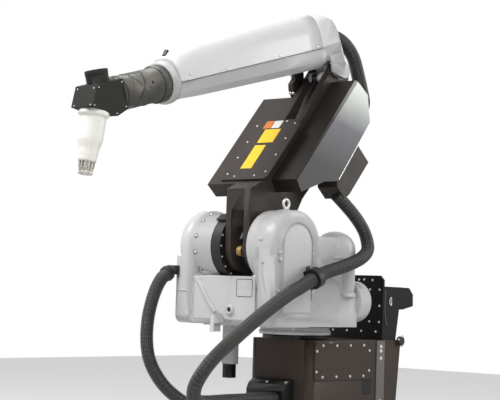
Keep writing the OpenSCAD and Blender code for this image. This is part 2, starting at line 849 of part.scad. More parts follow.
floor_plate();
pedestal();
pedestal_tail();
access_cover();
slewing_ring();
back_plate();
side_cheek(-plate_w / 2);  // side_cheek_left
side_cheek(plate_w / 2 - 14);  // side_cheek_right
rear_bracket();
hose_hood();
turntable();
shoulder_web();
left_ear();
right_ear();
gear_case();
shoulder_shaft();
upper_motor();
lower_motor();
lifting_eye();
hose_saddle();
stop_block();
left_hose_elbow();
arm_cheek_left();
arm_cheek_right();
left_valve_box();
valve_cover();
right_valve_box();
rear_valve_box();
elbow_pin();
crank();
control_rod();
arm_beam();
elbow_bracket();
arm_hood();
rear_end_cap();
wrist_ring();
wrist_sleeve();
wrist_middle();
gun_head();
atomizer();
bell_cup();
conduit_upper();
conduit_lower();
conduit_left();
elbow_hose();
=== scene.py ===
# %% [markdown]
# # A painting robot arm
#
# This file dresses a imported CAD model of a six-axis painting robot. The CAD solids come in
# as a fixed frame. Here each of them gets its paint, plastic or steel. Most are replaced by
# smoothly shaded copies, the hoses and the bell cup are made anew, and screws, ribs and
# small plates are added.
# Lengths in the helpers below are in millimetres, and meshes are made in metres.

import json
import math
import bmesh
import bpy
from mathutils import Matrix, Vector
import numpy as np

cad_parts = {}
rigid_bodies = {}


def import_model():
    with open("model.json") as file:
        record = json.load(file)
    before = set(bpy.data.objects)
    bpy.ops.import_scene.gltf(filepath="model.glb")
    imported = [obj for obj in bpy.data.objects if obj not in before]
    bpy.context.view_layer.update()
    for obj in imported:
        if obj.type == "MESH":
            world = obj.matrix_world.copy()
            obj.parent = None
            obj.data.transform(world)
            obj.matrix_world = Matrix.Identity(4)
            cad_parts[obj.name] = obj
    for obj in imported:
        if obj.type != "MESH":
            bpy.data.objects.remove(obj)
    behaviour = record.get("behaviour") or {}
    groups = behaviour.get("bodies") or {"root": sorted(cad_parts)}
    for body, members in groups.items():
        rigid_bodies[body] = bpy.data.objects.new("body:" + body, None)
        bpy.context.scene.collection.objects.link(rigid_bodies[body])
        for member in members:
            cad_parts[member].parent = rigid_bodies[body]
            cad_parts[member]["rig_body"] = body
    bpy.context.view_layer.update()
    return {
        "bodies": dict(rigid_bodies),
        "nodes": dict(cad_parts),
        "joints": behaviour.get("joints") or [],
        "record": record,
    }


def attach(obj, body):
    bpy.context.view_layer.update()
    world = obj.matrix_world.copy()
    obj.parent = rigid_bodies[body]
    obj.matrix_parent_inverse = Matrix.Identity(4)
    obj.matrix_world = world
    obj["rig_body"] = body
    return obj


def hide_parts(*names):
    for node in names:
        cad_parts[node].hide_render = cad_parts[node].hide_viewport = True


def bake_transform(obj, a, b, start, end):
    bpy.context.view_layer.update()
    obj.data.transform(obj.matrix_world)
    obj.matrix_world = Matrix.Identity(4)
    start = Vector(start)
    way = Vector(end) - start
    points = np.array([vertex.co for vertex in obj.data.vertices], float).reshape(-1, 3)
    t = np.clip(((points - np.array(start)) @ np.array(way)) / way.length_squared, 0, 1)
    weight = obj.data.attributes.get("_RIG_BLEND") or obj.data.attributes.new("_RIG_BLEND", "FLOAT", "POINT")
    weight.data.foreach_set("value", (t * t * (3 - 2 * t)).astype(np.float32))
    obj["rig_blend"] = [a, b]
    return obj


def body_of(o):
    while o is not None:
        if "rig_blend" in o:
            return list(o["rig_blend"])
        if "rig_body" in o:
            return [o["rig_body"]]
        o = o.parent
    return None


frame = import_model()
nodes = frame["nodes"]
MM = 0.001
print("CAD nodes:", len(nodes))

# %% [markdown]
# ## Camera
#
# The view was estimated from straight edges in the reference picture: a long lens, about nine
# metres away, a little below the shoulder, tipped slightly up and turned by a degree or two.

# %% Camera
CAMERA_PLACE = Vector((7127, 5950, 915)) * MM
LOOK_LEVEL = Vector((-0.7478, -0.6639, 0)).normalized()
PITCH = math.radians(3.18)
ROLL = math.radians(1.75)
LENS = 115.2

level_right = Vector((LOOK_LEVEL.y, -LOOK_LEVEL.x, 0))
look = LOOK_LEVEL * math.cos(PITCH) + Vector((0, 0, math.sin(PITCH)))
level_up = level_right.cross(look)
right = level_right * math.cos(ROLL) + level_up * math.sin(ROLL)
up = level_up * math.cos(ROLL) - level_right * math.sin(ROLL)

camera_data = bpy.data.cameras.new("camera")
camera_data.lens = LENS
camera_data.sensor_width = 36
camera = bpy.data.objects.new("camera", camera_data)
camera.matrix_world = Matrix.Translation(CAMERA_PLACE) @ Matrix((right, up, -look)).transposed().to_4x4()
bpy.context.collection.objects.link(camera)
bpy.context.scene.camera = camera
print("camera looks along", [round(v, 3) for v in look])

# %% [markdown]
# ## Studio
#
# A pale floor takes the shadow. Large soft lamps stand high on the left and in front, and a
# weak one fills in from behind on the right. The world is white only where the camera, gloss
# or glass sees it, so the background is bright without more light on the paint.

# %% Studio floor, lamps and world
def srgb(code):
    """Turns a hex colour such as "#E8E6E1" into linear red, green, blue and alpha."""
    values = [int(code[i:i + 2], 16) / 255 for i in (1, 3, 5)]
    linear = [v / 12.92 if v <= 0.04045 else ((v + 0.055) / 1.055) ** 2.4 for v in values]
    return (*linear, 1)


def put(tree, kind, inputs=None, **settings):
    """Adds one node. Settings are its attributes. An input is a value, the output of another
    node, or the node itself, which stands for its first output."""
    made = tree.nodes.new(kind)
    for key, value in settings.items():
        setattr(made, key, value)
    for key, value in (inputs or {}).items():
        if isinstance(value, bpy.types.Node):
            value = value.outputs[0]
        if isinstance(value, bpy.types.NodeSocket):
            tree.links.new(value, made.inputs[key])
        else:
            made.inputs[key].default_value = value
    return made


def empty_material(name):
    material = bpy.data.materials.new(name)
    material.use_nodes = True
    material.node_tree.nodes.clear()
    return material, material.node_tree


scene = bpy.context.scene
scene.view_settings.view_transform = "Standard"


def dress(thing, material):
    thing.data.materials.clear()
    thing.data.materials.append(material)


def stand(name, data, finish=None, body=None):
    """Puts an object at the origin, coats it and lets it ride on a body of the frame."""
    thing = bpy.data.objects.new(name, data)
    scene.collection.objects.link(thing)
    if finish:
        dress(thing, finish)
    if body:
        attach(thing, body)
    return thing


def looked_at(tree):
    """1 for the camera's rays, reflections and glass, and 0 for light that falls on the object."""
    rays = put(tree, "ShaderNodeLightPath").outputs
    bounced = put(tree, "ShaderNodeMath", {
        0: rays["Is Glossy Ray"], 1: rays["Is Transmission Ray"]}, operation="MAXIMUM")
    return put(tree, "ShaderNodeMath", {0: rays["Is Camera Ray"], 1: bounced}, operation="MAXIMUM")


FLOOR_HALF = 9
FLOOR_Z = -0.001
FLOOR_GLOW = 0.45
floor_paint, tree = empty_material("studio_floor_paint")
speckle = put(tree, "ShaderNodeTexNoise", {"Scale": 3.0, "Detail": 3.0})
tone = put(tree, "ShaderNodeMix", {
    "Factor": speckle.outputs["Fac"], "A": srgb("#DFDFDD"), "B": srgb("#E6E6E4")}, data_type="RGBA")
matt = put(tree, "ShaderNodeBsdfPrincipled", {"Base Color": tone.outputs["Result"], "Roughness": 0.8})
# The floor is lifted towards white only where it is looked at. It still takes the shadow.
lift = put(tree, "ShaderNodeMath", {0: looked_at(tree), 1: FLOOR_GLOW}, operation="MULTIPLY")
glow = put(tree, "ShaderNodeEmission", {"Color": (1, 1, 1, 1), "Strength": 1.0})
mixed = put(tree, "ShaderNodeMixShader", {0: lift, 1: matt, 2: glow})
put(tree, "ShaderNodeOutputMaterial", {"Surface": mixed})

floor_mesh = bpy.data.meshes.new("studio_floor")
floor_mesh.from_pydata([(x * FLOOR_HALF, y * FLOOR_HALF, FLOOR_Z)
                        for x, y in ((-1, -1), (1, -1), (1, 1), (-1, 1))], [], [(0, 1, 2, 3)])
stand("studio_floor", floor_mesh, floor_paint)

world = bpy.data.worlds.new("studio")
world.use_nodes = True
tree = world.node_tree
tree.nodes.clear()
room = put(tree, "ShaderNodeBackground", {"Color": srgb("#E9ECEF"), "Strength": 0.36})
white = put(tree, "ShaderNodeBackground", {"Color": (1, 1, 1, 1), "Strength": 1.0})
backdrop = put(tree, "ShaderNodeMixShader", {0: looked_at(tree), 1: room, 2: white})
put(tree, "ShaderNodeOutputWorld", {"Surface": backdrop})
scene.world = world


def lamp(name, place, target, size, watts):
    data = bpy.data.lights.new(name, "AREA")
    data.shape = "RECTANGLE"
    data.size, data.size_y = size
    data.energy = watts
    thing = stand(name, data)
    thing.location = place
    thing.rotation_euler = (Vector(target) - Vector(place)).to_track_quat("-Z", "Y").to_euler()
    print(name, watts, "W at", place)


lamp("key_softbox", (3.3, -1.6, 5.2), (0.2, 0, 1.3), (3.0, 2.2), 235)
lamp("front_softbox", (3.0, 3.0, 4.4), (0.1, 0, 1.4), (3.2, 2.4), 104)
lamp("back_strip", (-3.2, 3.0, 2.6), (0, 0, 1.2), (1.2, 2.6), 55)

# %% [markdown]
# ## Finishes
#
# Every finish on this machine is a thin layer over something: enamel over cast metal,
# powder over folded sheet, a gel coat over glass fibre. So one recipe serves most of them.
# A slow noise, as wide as a hand, shifts the colour and the gloss a little. A fast one, at
# the size of the grain, lifts the surface by a fraction of a millimetre. A Bevel node turns
# the normals near an edge, so that paint looks as thick there as paint is. It costs no faces.

# %% One recipe for coated surfaces
def coated(name, light, dark, patch_mm, gloss, grain_mm, lift_mm, metallic=0.0, coat=0.0,
           edge_mm=3, specular=0.5):
    """A coat whose tone drifts over patch_mm, with roughness between the two gloss values."""
    material, tree = empty_material(name)
    place = put(tree, "ShaderNodeTexCoord")
    patch = put(tree, "ShaderNodeTexNoise", {
        "Vector": place.outputs["Object"], "Scale": 1000 / patch_mm, "Detail": 4.0, "Roughness": 0.55})
    tone = put(tree, "ShaderNodeMix", {
        "Factor": patch.outputs["Fac"], "A": srgb(dark), "B": srgb(light)}, data_type="RGBA")
    shine = put(tree, "ShaderNodeMapRange", {
        "Value": patch.outputs["Fac"], "From Min": 0.3, "From Max": 0.7, "To Min": gloss[0],
        "To Max": gloss[1]})
    grain = put(tree, "ShaderNodeTexNoise", {
        "Vector": place.outputs["Object"], "Scale": 1000 / grain_mm, "Detail": 2.0})
    edge = put(tree, "ShaderNodeBevel", {"Radius": edge_mm * MM}, samples=4)
    bump = put(tree, "ShaderNodeBump", {
        "Height": grain.outputs["Fac"], "Distance": lift_mm * MM, "Strength": 0.6, "Normal": edge})
    shader = put(tree, "ShaderNodeBsdfPrincipled", {
        "Base Color": tone.outputs["Result"], "Roughness": shine.outputs["Result"], "Normal": bump,
        "Metallic": metallic, "Specular IOR Level": specular, "Coat Weight": coat, "Coat Roughness": 0.12})
    put(tree, "ShaderNodeOutputMaterial", {"Surface": shader})
    print("finish:", name)
    return material


# Two-pack enamel on sand-cast iron: the coat rounds off the sand's grain, 4 mm wide here.
casting_enamel = coated(
    "light_enamel_on_sand_casting", "#CECECE", "#C3C3C3", 160, (0.24, 0.36), 4, 0.10, coat=0.12, edge_mm=12,
    specular=0.3)
# Gel coat on moulded glass fibre: smooth and even, with a faint orange peel.
hood_gel_coat = coated(
    "moulded_gel_coat", "#E0E0DF", "#D9D9D8", 300, (0.22, 0.32), 9, 0.05, coat=0.15, edge_mm=14, specular=0.3)
# Wet enamel on the welded beam, a shade darker than the castings.
beam_enamel = coated(
    "grey_enamel_on_welded_beam", "#BBBCBB", "#AEAFAE", 180, (0.32, 0.46), 5, 0.08, coat=0.15, edge_mm=6)
# Epoxy powder on folded sheet steel: near black with a brown cast, slightly pebbled.
black_powder = coated(
    "black_powder_coat_on_sheet", "#443E3A", "#36302C", 160, (0.32, 0.48), 3, 0.07, specular=0.15)
# The same powder on the welded pedestal, with more brown and a duller gloss.
pedestal_powder = coated(
    "brown_black_powder_on_plate", "#4C423B", "#3B322D", 260, (0.36, 0.52), 3, 0.09, specular=0.15)
# Black enamel on the plate and cheeks behind the arm, darker and smoother than the powder.
black_enamel = coated(
    "black_enamel_on_plate", "#211E1D", "#181615", 200, (0.30, 0.44), 4, 0.04, specular=0.12)
# Black chromate on machined rings and small fittings.
black_chromate = coated(
    "black_chromate_on_steel", "#232120", "#1A1918", 60, (0.35, 0.5), 2, 0.04, metallic=0.2)
# Zinc plate on rolled and pressed steel: bright, a little cloudy.
zinc_plate = coated("zinc_plate_on_steel", "#E4E4E1", "#CFCFCB", 18, (0.25, 0.40), 1.5, 0.02, metallic=0.45)
# Turned stainless steel, as the bell cup is.
turned_stainless = coated(
    "turned_stainless_steel", "#CFCBC4", "#B2ADA6", 12, (0.18, 0.3), 1.2, 0.02, metallic=1.0)
# Dull rolled brass.
dull_brass = coated("dull_rolled_brass", "#A98C58", "#8D7344", 25, (0.38, 0.52), 2, 0.03, metallic=0.7)
# Machined acetal, off-white: soft light gets a little way into it.
acetal = coated("machined_acetal_white", "#F7F6F0", "#F1EFE6", 90, (0.34, 0.44), 2.5, 0.03)
# Glass-filled nylon, moulded: charcoal with a fine spark-eroded grain.
charcoal_nylon = coated(
    "moulded_charcoal_nylon", "#31302E", "#282725", 70, (0.56, 0.68), 1.8, 0.08, specular=0.15)
# Hard-anodised aluminium of the wrist housings: almost black with an olive cast.
olive_anodised = coated(
    "hard_anodised_aluminium", "#53524C", "#413F3A", 60, (0.36, 0.5), 1.5, 0.04, metallic=0.35)
# Cold-rolled steel strip under a thin grey wash coat.
strip_steel = coated("wash_coated_steel_strip", "#6F6B69", "#605C5A", 60, (0.38, 0.5), 3, 0.04, metallic=0.25)
# Blank vinyl plates.
yellow_vinyl = coated("blank_yellow_vinyl", "#FFCE12", "#F6C000", 40, (0.35, 0.45), 2, 0.01)
white_vinyl = coated("blank_white_vinyl", "#E9E7E2", "#DFDCD6", 40, (0.35, 0.45), 2, 0.01)
orange_vinyl = coated("blank_orange_vinyl", "#D9791F", "#C96A15", 40, (0.35, 0.45), 2, 0.01)
# Near black for painted shade in holes, recesses and grooves, such as the slots in the pedestal, and for the
# dark seam lines of the hood.
shade_and_seam_black = coated("unlit_recess", "#0B0A0A", "#080808", 50, (0.7, 0.8), 3, 0.02)

# %% [markdown]
# ## The lacquered box cover
#
# The side of the right valve box is one folded cover with a satin lacquer. Its colour holds a
# painted reflection, pale at the top and near black at its foot, made by a gradient along the
# box. The box leans back by 40.8 degrees, and a Mapping node tips the gradient by about a third
# of that.

# %% Lacquered cover with a painted reflection, pale at the top and dark at the foot
BOX_LEAN = math.radians(40.8)
REFLECTION_GRADIENT_TIP = 0.35


def cover_with_painted_reflection():
    material, tree = empty_material("satin_lacquer_on_folded_cover")
    place = put(tree, "ShaderNodeTexCoord")
    upright = put(tree, "ShaderNodeMapping", {
        "Vector": place.outputs["Object"], "Rotation": (0, BOX_LEAN * REFLECTION_GRADIENT_TIP, 0)})
    split = put(tree, "ShaderNodeSeparateXYZ", {"Vector": upright.outputs["Vector"]})
    patch = put(tree, "ShaderNodeTexNoise", {"Vector": place.outputs["Object"], "Scale": 5.0, "Detail": 3.0})
    # Painted reflection: the tipped height along the box runs a ramp from near black at the foot to pale at
    # the top.
    height = put(tree, "ShaderNodeMath", {
        0: patch.outputs["Fac"], 1: 0.06, 2: split.outputs["Z"]}, operation="MULTIPLY_ADD")
    share = put(tree, "ShaderNodeMapRange", {"Value": height, "From Min": 1.50, "From Max": 2.25})
    ramp = put(tree, "ShaderNodeValToRGB", {"Fac": share.outputs["Result"]})
    stops = ramp.color_ramp.elements
    stops[0].position, stops[0].color = 0.10, srgb("#1D1B1B")
    stops[1].position, stops[1].color = 0.90, srgb("#CDD1C8")
    middle = stops.new(0.46)
    middle.color = srgb("#4C4C51")
    # Painted light by facing: only the outer side gets the pale painted reflection. The folded front edge
    # gets half of it, the front stays dark.
    facing = put(tree, "ShaderNodeSeparateXYZ", {"Vector": place.outputs["Normal"]})
    painted_light_by_facing = put(tree, "ShaderNodeMapRange", {
        "Value": facing.outputs["Y"], "From Min": 0.25, "From Max": 0.95})
    colour = put(tree, "ShaderNodeMix", {
        "Factor": painted_light_by_facing.outputs["Result"], "A": srgb("#2E2926"), "B": ramp.outputs["Color"]},
        data_type="RGBA")
    grain = put(tree, "ShaderNodeTexNoise", {"Vector": place.outputs["Object"], "Scale": 300.0})
    bump = put(tree, "ShaderNodeBump", {
        "Height": grain.outputs["Fac"], "Distance": 0.05 * MM, "Strength": 0.5})
    shader = put(tree, "ShaderNodeBsdfPrincipled", {
        "Base Color": colour.outputs["Result"], "Normal": bump, "Roughness": 0.34, "Metallic": 0.25,
        "Specular IOR Level": 0.3})
    put(tree, "ShaderNodeOutputMaterial", {"Surface": shader})
    return material


reflection_painted_cover = cover_with_painted_reflection()
print("finish:", reflection_painted_cover.name)

# %% [markdown]
# ## Braided sleeve
#
# The conduits wear a braided polyester sleeve: two families of flat yarns that cross at an
# angle. A braid follows the tube, so its pattern needs coordinates that go along and round it.
# The hose tree stores those as attributes, and two waves that run in opposite directions make
# the yarns. They are drawn wider apart than real ones, or they would vanish. Their crests carry
# a painted highlight.

# %% Braided polyester sleeve
YARN_PITCH_MM = 14
YARN_TURNS = 10.0


def braided_sleeve():
    material, tree = empty_material("braided_polyester_sleeve")
    along = put(tree, "ShaderNodeAttribute", attribute_name="along_mm")
    around = put(tree, "ShaderNodeAttribute", attribute_name="turn")
    yarns = []
    for direction in (1, -1):
        twist = put(tree, "ShaderNodeMath", {
            0: around.outputs["Fac"], 1: YARN_TURNS * direction}, operation="MULTIPLY")
        phase = put(tree, "ShaderNodeMath", {
            0: along.outputs["Fac"], 1: 1 / YARN_PITCH_MM, 2: twist}, operation="MULTIPLY_ADD")
        angle = put(tree, "ShaderNodeMath", {0: phase, 1: math.tau}, operation="MULTIPLY")
        yarns.append(put(tree, "ShaderNodeMath", {0: angle}, operation="SINE"))
    weave = put(tree, "ShaderNodeMath", {0: yarns[0], 1: yarns[1]}, operation="MULTIPLY")
    height = put(tree, "ShaderNodeMapRange", {"Value": weave, "From Min": -1.0, "From Max": 1.0})
    # The ramp keeps the sleeve black and paints a pale highlight on the yarn crests.
    tone = put(tree, "ShaderNodeValToRGB", {"Fac": height.outputs["Result"]})
    stops = tone.color_ramp.elements
    stops[0].position, stops[0].color = 0.42, srgb("#121110")
    stops[1].position, stops[1].color = 0.97, srgb("#5F5C59")
    bump = put(tree, "ShaderNodeBump", {
        "Height": height.outputs["Result"], "Distance": 1.0 * MM, "Strength": 0.6})
    shader = put(tree, "ShaderNodeBsdfPrincipled", {
        "Base Color": tone.outputs["Color"], "Roughness": 0.33, "Normal": bump, "Sheen Weight": 0.15,
        "Specular IOR Level": 0.3})
    put(tree, "ShaderNodeOutputMaterial", {"Surface": shader})
    print("finish:", material.name)
    return material


hose_black = braided_sleeve()

# %% Put the finishes on the CAD nodes
FINISH = {
    casting_enamel: ["turntable", "shoulder_web", "left_ear", "right_ear", "upper_motor",
                     "lower_motor"],
    hood_gel_coat: ["arm_hood", "rear_end_cap"],
    beam_enamel: ["arm_beam", "wrist_ring", "stop_block"],
    black_powder: ["arm_cheek_left", "arm_cheek_right", "left_valve_box", "valve_cover",
                   "rear_valve_box"],
    pedestal_powder: ["floor_plate", "pedestal", "pedestal_tail", "access_cover"],
    black_chromate: ["slewing_ring", "hose_hood", "gear_case", "crank", "hose_saddle", "left_hose_elbow",
                     "elbow_bracket", "control_rod"],
    zinc_plate: ["shoulder_shaft", "lifting_eye", "elbow_pin"],
    acetal: ["atomizer"],
    turned_stainless: ["bell_cup"],
    charcoal_nylon: ["gun_head"],
    olive_anodised: ["wrist_sleeve", "wrist_middle"],
    reflection_painted_cover: ["right_valve_box"],
    black_enamel: ["back_plate", "rear_bracket", "side_cheek_left", "side_cheek_right"],
    hose_black: ["conduit_upper", "conduit_lower", "conduit_left", "elbow_hose"],
}

# The nodes that stay as CAD solids, with flat faces only. The bell cup gets its own piece later.
STAY_FLAT = {"floor_plate", "pedestal_tail", "access_cover", "back_plate", "side_cheek_left",
             "side_cheek_right", "left_valve_box", "valve_cover", "right_valve_box", "rear_valve_box",
             "elbow_bracket", "bell_cup"}
SMOOTH_DEG = 30
HEAD_SMOOTH_DEG = 8


def smooth_copy(name, material, smooth_deg):
    """Stands a merged, smoothly shaded copy in for a CAD node."""
    merged = bmesh.new()
    merged.from_mesh(nodes[name].data)
    bmesh.ops.remove_doubles(merged, verts=merged.verts, dist=0.01 * MM)
    mesh = bpy.data.meshes.new(name + "_coated")
    merged.to_mesh(mesh)
    merged.free()
    mesh.shade_smooth()
    mesh.set_sharp_from_angle(angle=math.radians(smooth_deg))
    thing = stand(name + "_coated", mesh, material, body_of(nodes[name])[0])
    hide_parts(name)


for material, names in FINISH.items():
    for name in names:
        dress(nodes[name], material)
        if name not in STAY_FLAT and material is not hose_black:
            smooth_copy(name, material, HEAD_SMOOTH_DEG if name == "gun_head" else SMOOTH_DEG)
left_bare = sorted(set(nodes) - {name for names in FINISH.values() for name in names})
print("nodes without a finish:", left_bare)

# %% [markdown]
# # Hoses
#
# Four conduits feed the arm. Each one is a corrugated plastic tube in a braided sleeve, so it
# bends without a kink and shows a fine ripple in its outline. Geometry Nodes follow the
# conduit's middle line, set a waving radius along it and sweep a circle. The pitch of the
# ribs is one number, and the tree also stores how far along and how far round each corner
# is, for the braid of the material.

# %% The node tree for a corrugated tube
STEPS_PER_RIB = 5


def open_tree(name, inputs, output):
    """A geometry tree with its named inputs and its output, and the input node's sockets."""
    tree = bpy.data.node_groups.new(name, "GeometryNodeTree")
    for label, kind in inputs.items():
        tree.interface.new_socket(label, in_out="INPUT", socket_type="NodeSocket" + kind)
    tree.interface.new_socket(output, in_out="OUTPUT", socket_type="NodeSocketGeometry")
    return tree, put(tree, "NodeGroupInput").outputs


def close_tree(tree, given, geometry, output):
    """Makes instances real and sets the finish last."""
    real = put(tree, "GeometryNodeRealizeInstances", {"Geometry": geometry})
    finished = put(tree, "GeometryNodeSetMaterial", {"Geometry": real, "Material": given["Finish"]})
    put(tree, "NodeGroupOutput", {output: finished})
    return tree


def corrugated_tree():
    tree, given = open_tree("corrugated_conduit", {
        "Line": "Geometry", "Crest radius": "Float", "Rib depth": "Float", "Rib pitch": "Float",
        "Sides": "Int", "Finish": "Material"}, "Tube")
    line = put(tree, "GeometryNodeMeshToCurve", {"Mesh": given["Line"]})
    step = put(tree, "ShaderNodeMath", {0: given["Rib pitch"], 1: 1 / STEPS_PER_RIB}, operation="MULTIPLY")
    even = put(tree, "GeometryNodeResampleCurve", {"Curve": line}, mode="LENGTH")
    tree.links.new(step.outputs[0], even.inputs["Length"])
    along = put(tree, "GeometryNodeSplineParameter")
    turns = put(tree, "ShaderNodeMath", {
        0: along.outputs["Length"], 1: given["Rib pitch"]}, operation="DIVIDE")
    angle = put(tree, "ShaderNodeMath", {0: turns, 1: math.tau}, operation="MULTIPLY")
    wave = put(tree, "ShaderNodeMath", {0: angle}, operation="COSINE")
    half = put(tree, "ShaderNodeMath", {0: given["Rib depth"], 1: 0.5}, operation="MULTIPLY")
    middle = put(tree, "ShaderNodeMath", {0: given["Crest radius"], 1: half}, operation="SUBTRACT")
    radius = put(tree, "ShaderNodeMath", {0: wave, 1: half, 2: middle}, operation="MULTIPLY_ADD")
    along_mm = put(tree, "ShaderNodeMath", {0: along.outputs["Length"], 1: 1000.0}, operation="MULTIPLY")
    marked = put(tree, "GeometryNodeStoreNamedAttribute", {
        "Geometry": even, "Name": "along_mm", "Value": along_mm}, data_type="FLOAT", domain="POINT")
    circle = put(tree, "GeometryNodeCurvePrimitiveCircle", {"Resolution": given["Sides"], "Radius": 1.0})
    turn_at = put(tree, "GeometryNodeSplineParameter")
    there_and_back = put(tree, "ShaderNodeMath", {0: turn_at.outputs["Factor"], 1: 1.0}, operation="PINGPONG")
    turned = put(tree, "GeometryNodeStoreNamedAttribute", {
        "Geometry": circle, "Name": "turn", "Value": there_and_back}, data_type="FLOAT", domain="POINT")
    tube = put(tree, "GeometryNodeCurveToMesh", {
        "Curve": marked, "Profile Curve": turned, "Scale": radius, "Fill Caps": True})
    smooth = put(tree, "GeometryNodeSetShadeSmooth", {"Geometry": tube})
    return close_tree(tree, given, smooth, "Tube")


def run_tree(name, start_mesh, tree, values):
    """Runs a node tree on a mesh and gives back one plain mesh object at the origin."""
    carrier = stand(name + "_carrier", start_mesh)
    modifier = carrier.modifiers.new("nodes", "NODES")
    modifier.node_group = tree
    for item in tree.interface.items_tree:
        if item.in_out == "INPUT" and item.name in values:
            modifier[item.identifier] = values[item.name]
    evaluated = carrier.evaluated_get(bpy.context.evaluated_depsgraph_get())
    mesh = bpy.data.meshes.new_from_object(evaluated)
    mesh.name = name
    bpy.data.objects.remove(carrier)
    return stand(name, mesh)


conduit_tree = corrugated_tree()
print("node tree:", conduit_tree.name, "with", len(conduit_tree.nodes), "nodes")

# %% [markdown]
# ## Routes
#
# The routes are the middle lines of the CAD hoses, in millimetres from the shoulder axis.
# A Catmull-Rom curve goes through each of those points, so the tube stays where the solid
# is. Each hose ends inside the housing at either end and bends across one joint.

# %% Four conduits on their routes
def smooth_route(points, pieces=8):
    """More points on a Catmull-Rom curve through the given ones."""
    ends = [points[0] * 2 - points[1], *points, points[-1] * 2 - points[-2]]
    route = []
    for a, b, c, d in zip(ends, ends[1:], ends[2:], ends[3:]):
        for k in range(pieces):
            t = k / pieces
            route.append(0.5 * (2 * b + (c - a) * t + (2 * a - 5 * b + 4 * c - d) * t ** 2
                                + (3 * b - a - 3 * c + d) * t ** 3))
    return route + [points[-1]]


SHOULDER = Vector((400, 0, 1150))
CONDUIT_D = 76
ELBOW_HOSE_D = 84
RIB_PITCH = 10
RIB_DEPTH = 3
HOSE_SIDES = 24


def conduit(name, offsets, diameter_mm, bodies, start, end):
    points = [(SHOULDER + Vector(offset)) * MM for offset in offsets]
    route = smooth_route(points)
    line = bpy.data.meshes.new(name + "_line")
    line.from_pydata(route, [(i, i + 1) for i in range(len(route) - 1)], [])
    hose = run_tree(name + "_ribbed", line, conduit_tree, {
        "Crest radius": diameter_mm / 2 * MM, "Rib depth": RIB_DEPTH * MM, "Rib pitch": RIB_PITCH * MM,
        "Sides": HOSE_SIDES, "Finish": hose_black})
    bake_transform(hose, *bodies, start=points[start], end=points[end])
    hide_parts(name)
    length = sum((b - a).length for a, b in zip(route, route[1:]))
    triangles = sum(len(p.vertices) - 2 for p in hose.data.polygons)
    print(hose.name, "length", round(length, 2), "m, triangles", triangles)


conduit("conduit_upper", [
    (-437, 250, 316), (-500, 268, 262), (-560, 292, 200), (-606, 316, 130), (-616, 340, 66),
    (-588, 368, 8), (-500, 394, -40), (-364, 403, -84), (-220, 405, -118), (-130, 405, -143.5),
    (-79.6, 405, -162.9)],
    CONDUIT_D, ("lower_arm", "shoulder"), 1, 9)
conduit("conduit_lower", [
    (-74, 405, -165), (-27.3, 405, -182.9), (40, 406, -214), (153, 410, -259), (351, 415, -357),
    (552, 405, -483), (681, 360, -602), (714, 290, -713), (662, 215, -788), (560, 140, -832), (420, 80, -848),
    (240, 45, -850), (0, 40, -850), (-239.5, 40, -850)],
    CONDUIT_D, ("shoulder", "base"), 1, 12)
conduit("conduit_left", [
    (243, -428, -169.4), (276, -428, -192.5), (316, -430, -252), (350, -430, -335), (372, -430, -428),
    (377, -428, -540), (363, -418, -640), (323, -398, -730), (264, -360, -814), (190, -296, -884),
    (110, -208, -932), (0, -130, -948), (-120, -100, -950), (-239.5, -100, -950)],
    CONDUIT_D, ("shoulder", "base"), 1, 12)
conduit("elbow_hose", [
    (-640, 15, 1272), (-690, 20, 1274), (-750, 34, 1243), (-795, 48, 1195), (-816, 62, 1140),
    (-824, 90, 1035), (-812, 122, 955), (-786, 155, 899), (-745, 180, 858), (-694.6, 190, 835.9),
    (-655.2, 190, 828.9)],
    ELBOW_HOSE_D, ("upper_arm", "lower_arm"), 1, 9)

# %% [markdown]
# # Fastenings
#
# About two hundred small screws hold the covers. They differ only in place, direction and size,
# so one node tree instances a head on every point of a mesh. Each point carries an attribute
# with the direction it faces and one with its radius. The screws of one body become one mesh.

# %% A frame of reference for each part of the arm
BASE = Matrix.Identity(4)
LOWER_ARM_LENGTH = 1209
ARM_LEAN = math.radians(30.6)
ELBOW = SHOULDER + LOWER_ARM_LENGTH * Vector((-math.sin(ARM_LEAN), 0, math.cos(ARM_LEAN)))


def turn(degrees, axis):
    return Matrix.Rotation(math.radians(degrees), 4, axis)


def direction(degrees):
    """The direction in the XZ plane at that angle above +X."""
    angle = math.radians(degrees)
    return Vector((math.cos(angle), 0, math.sin(angle)))


def facing_frame(place, axis):
    """A frame at a place whose Z axis points along the given axis."""
    turned = Vector((0, 0, 1)).rotation_difference(Vector(axis))
    return Matrix.Translation(place) @ turned.to_matrix().to_4x4()


def leaning(origin, degrees):
    """A frame at origin whose Z axis leans back from upright by degrees, in millimetres."""
    return Matrix.Translation(origin) @ turn(-degrees, "Y")


BOXES = leaning(SHOULDER, 40.8)
ARM = leaning(ELBOW, -16.3)
WRIST = ARM @ Matrix.Translation((0, 0, 191))
print("elbow axis at", [round(v, 1) for v in ELBOW], "mm")

